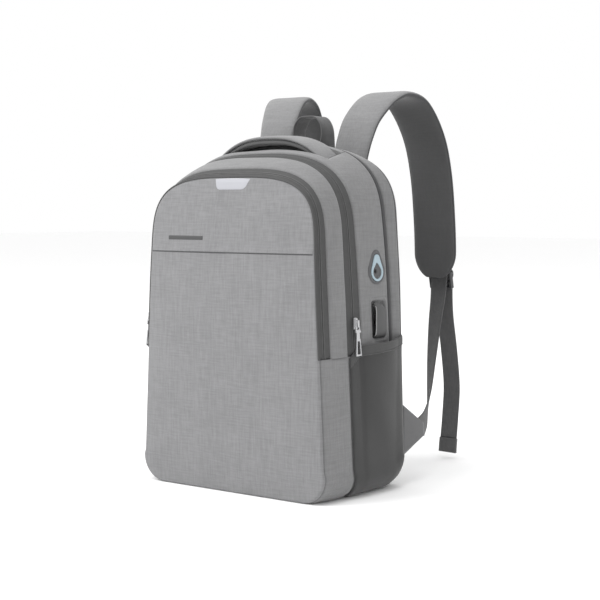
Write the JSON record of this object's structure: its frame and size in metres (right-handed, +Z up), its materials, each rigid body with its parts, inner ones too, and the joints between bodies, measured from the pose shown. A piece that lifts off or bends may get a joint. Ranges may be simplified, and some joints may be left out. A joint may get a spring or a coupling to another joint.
{
  "type": "laptop backpack",
  "caption": "Slim upright backpack with arched zip front, side pockets, cable and charging ports, carry handle and padded shoulder straps.",
  "frame": {"origin": "middle of the bag's base on the floor", "axes": "+Z up, front panel towards -Y, wearer's back and straps towards +Y, charging port side towards +X"},
  "size_m": [0.3164, 0.3558, 0.4932],
  "materials": {
    "panel_cloth": "woven melange polyester",
    "gusset_cloth": "woven melange polyester",
    "zip_tape": "zip tape",
    "zip_coil": "nylon coil",
    "reflective_film": "satin",
    "bar_print": "matt",
    "lining": "plain lining",
    "seam_binding": "binding",
    "dark_cloth": "woven",
    "mesh_foam": "air mesh over foam",
    "pocket_cloth": "woven",
    "zip_metal": "satin nickel",
    "port_rubber": "matt",
    "inlay_plastic": "satin",
    "socket_plastic": "matt",
    "socket_metal": "satin",
    "cover_rubber": "matt",
    "strap_cloth": "woven melange polyester",
    "strap_mesh": "air mesh",
    "webbing": "ribbed webbing",
    "lock_plastic": "matt"
  },
  "bodies": {
    "bag": {"front_panel_lower": "panel_cloth", "front_panel_fold": "panel_cloth", "front_gusset_fold": "gusset_cloth", "front_gusset_lower": "gusset_cloth", "divider_lower": "lining", "main_tape_rear": "zip_tape", "main_coil_rear": "zip_coil", "lower_gusset": "gusset_cloth", "main_gusset": "gusset_cloth", "side_seam": "seam_binding", "rear_gusset": "gusset_cloth", "back_edge": "dark_cloth", "back_panel": "mesh_foam", "back_pads": "mesh_foam", "yoke": "dark_cloth", "handle_well": "lining", "laptop_divider": "lining", "handle_top_band": "gusset_cloth", "handle_lining": "lining", "side_pocket_right": "pocket_cloth", "side_pocket_left": "pocket_cloth", "cable_grommet": "port_rubber", "cable_port_inlay": "inlay_plastic", "usb_frame": "gusset_cloth", "usb_socket": "socket_plastic", "usb_contacts": "socket_metal", "strap_root_right": "dark_cloth", "strap_root_left": "dark_cloth", "triangle_gusset_right": "dark_cloth", "triangle_gusset_left": "dark_cloth", "hang_loop": "webbing"},
    "front_section": {"front_tape_outer": "zip_tape", "front_coil_outer": "zip_coil", "front_gusset_upper": "gusset_cloth", "divider_upper": "lining", "main_tape_front": "zip_tape", "main_coil_front": "zip_coil"},
    "front_flap": {"front_panel_upper": "panel_cloth", "welt_lip": "panel_cloth", "welt_slit": "zip_coil", "reflective_patch": "reflective_film", "name_bar": "bar_print", "front_tape_inner": "zip_tape", "front_coil_inner": "zip_coil"},
    "main_slider": {"main_slider": "zip_metal"},
    "main_pull": {"main_pull": "zip_metal"},
    "front_slider": {"front_slider": "zip_metal"},
    "front_pull": {"front_pull": "zip_metal"},
    "usb_cover": {"usb_cover": "cover_rubber"},
    "strap_right": {"strap_right": "strap_cloth", "strap_lining_right": "strap_mesh", "web_right": "webbing", "ladder_lock_right": "lock_plastic"},
    "strap_left": {"strap_left": "strap_cloth", "strap_lining_left": "strap_mesh", "web_left": "webbing", "ladder_lock_left": "lock_plastic"},
    "tail_right": {"web_tail_right": "webbing"},
    "tail_left": {"web_tail_left": "webbing"}
  },
  "joints": [
    {"name": "main_opening", "type": "hinge", "parent": "bag", "child": "front_section", "pos_m": [0, -0.009, 0.168], "axis": [1, 0, 0], "range_deg": [0, 40], "deforming": ["front_gusset_fold", "front_panel_fold"]},
    {"name": "front_pocket_opening", "type": "hinge", "parent": "front_section", "child": "front_flap", "pos_m": [0, -0.0745, 0.168], "axis": [1, 0, 0], "range_deg": [0, 50]},
    {"name": "main_zip_slide", "type": "slide", "parent": "bag", "child": "main_slider", "axis": [-0.0516, 0, 0.9987], "range_m": [0, 0.08]},
    {"name": "main_pull_swing", "type": "hinge", "parent": "main_slider", "child": "main_pull", "pos_m": [0.14164, -0.009, 0.20647], "axis": [0, -1, 0], "range_deg": [0, 150]},
    {"name": "front_zip_slide", "type": "slide", "parent": "front_section", "child": "front_slider", "axis": [0.0516, 0, 0.9987], "range_m": [0, 0.08]},
    {"name": "front_pull_swing", "type": "hinge", "parent": "front_slider", "child": "front_pull", "pos_m": [-0.13564, -0.0625, 0.20647], "axis": [0, 1, 0], "range_deg": [0, 150]},
    {"name": "usb_cover_hinge", "type": "hinge", "parent": "bag", "child": "usb_cover", "pos_m": [0.14312, 0.0494, 0.208], "axis": [0, 0, 1], "range_deg": [0, 75]},
    {"name": "strap_right_swing", "type": "hinge", "parent": "bag", "child": "strap_right", "pos_m": [0.058, 0.097, 0.39], "axis": [0.268, 0.0861, -0.9596], "range_deg": [-12, 30]},
    {"name": "strap_left_swing", "type": "hinge", "parent": "bag", "child": "strap_left", "pos_m": [-0.058, 0.097, 0.39], "axis": [0.268, -0.0861, 0.9596], "range_deg": [-12, 30]},
    {"name": "tail_right_swing", "type": "hinge", "parent": "strap_right", "child": "tail_right", "pos_m": [0.101, 0.266, 0.245], "axis": [1, 0, 0], "range_deg": [0, 35]},
    {"name": "tail_left_swing", "type": "hinge", "parent": "strap_left", "child": "tail_left", "pos_m": [-0.101, 0.266, 0.245], "axis": [1, 0, 0], "range_deg": [0, 35]}
  ]
}
